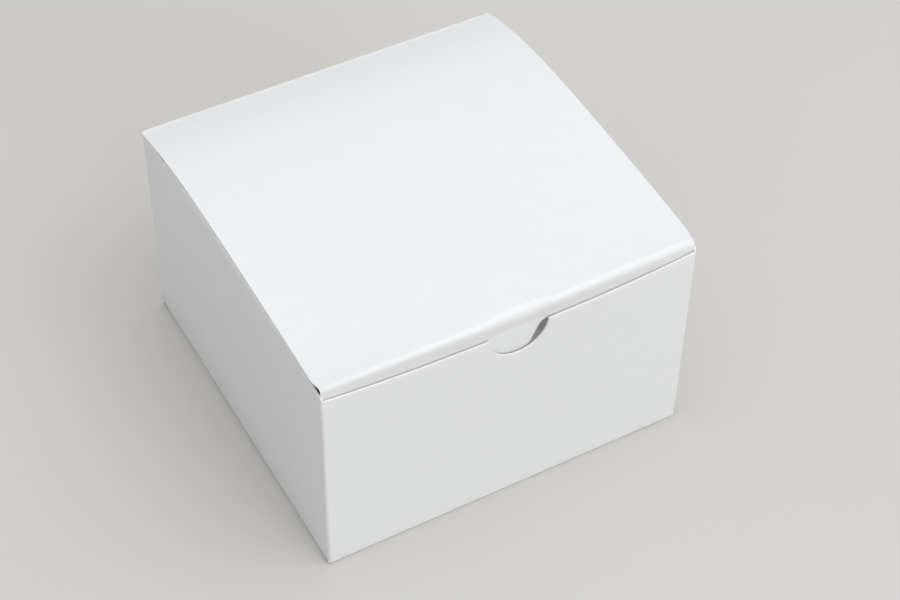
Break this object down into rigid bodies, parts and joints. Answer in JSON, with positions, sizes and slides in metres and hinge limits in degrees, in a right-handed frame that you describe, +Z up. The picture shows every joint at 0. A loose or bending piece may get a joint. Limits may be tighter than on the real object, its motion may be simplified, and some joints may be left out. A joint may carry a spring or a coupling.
{
  "type": "tuck-top folding gift carton",
  "caption": "Square white paperboard gift carton with a domed hinged lid, a tuck flap, dust flaps under the lid, a thumb notch in the front panel and a crash-lock bottom.",
  "frame": {"origin": "centre of the base, on the surface the carton stands on", "axes": "+Z up, +X to the right of someone facing the front, -Y towards the front panel with the thumb notch, +Y towards the lid's hinge"},
  "size_m": [0.1016, 0.1033, 0.0668],
  "materials": {
    "coated_board": "clay-coated white board, satin outside, matt inside",
    "scored_board": "the same board, crushed along a pressed score",
    "dried_glue": "thin milky film of dried adhesive"
  },
  "bodies": {
    "carton": {"back_panel": "coated_board", "bottom_back_flap": "coated_board", "bottom_crease_back": "scored_board", "bottom_crease_front": "scored_board", "bottom_crease_left": "scored_board", "bottom_crease_right": "scored_board", "bottom_front_flap": "coated_board", "bottom_glue_spot_left": "dried_glue", "bottom_glue_spot_right": "dried_glue", "bottom_glue_wing_left": "coated_board", "bottom_glue_wing_right": "coated_board", "bottom_left_flap": "coated_board", "bottom_right_flap": "coated_board", "bottom_wing_crease_left": "scored_board", "bottom_wing_crease_right": "scored_board", "corner_crease_back_left": "scored_board", "corner_crease_front_left": "scored_board", "corner_crease_front_right": "scored_board", "corner_crease_seam": "scored_board", "dust_flap_crease_left": "scored_board", "dust_flap_crease_right": "scored_board", "front_panel": "coated_board", "left_side_panel": "coated_board", "lid_hinge_crease": "scored_board", "right_side_panel": "coated_board", "seam_glue_flap": "coated_board", "seam_glue_line": "dried_glue"},
    "lid": {"lid_panel": "coated_board", "tuck_flap_crease": "scored_board"},
    "tuck_flap": {"tuck_flap": "coated_board"},
    "dust_flap_left": {"dust_flap_left": "coated_board"},
    "dust_flap_right": {"dust_flap_right": "coated_board"}
  },
  "joints": [
    {"name": "lid_hinge", "type": "hinge", "parent": "carton", "child": "lid", "pos_m": [0, 0.05055, 0.06265], "axis": [-1, 0, 0], "range_deg": [0, 120]},
    {"name": "tuck_flap_fold", "type": "hinge", "parent": "lid", "child": "tuck_flap", "pos_m": [0, -0.04975, 0.06362], "axis": [-1, 0, 0], "range_deg": [0, 48]},
    {"name": "dust_flap_left_fold", "type": "hinge", "parent": "carton", "child": "dust_flap_left", "pos_m": [-0.05055, 0, 0.0644], "axis": [0, -1, 0], "range_deg": [0, 90], "deforming": ["dust_flap_crease_left"]},
    {"name": "dust_flap_right_fold", "type": "hinge", "parent": "carton", "child": "dust_flap_right", "pos_m": [0.05055, 0, 0.0644], "axis": [0, 1, 0], "range_deg": [0, 90], "deforming": ["dust_flap_crease_right"]}
  ],
  "couplings": [
    {"joint": "tuck_flap_fold", "follows": "lid_hinge", "ratio": 0.4},
    {"joint": "dust_flap_left_fold", "follows": "lid_hinge", "ratio": 0.75},
    {"joint": "dust_flap_right_fold", "follows": "lid_hinge", "ratio": 0.75}
  ]
}
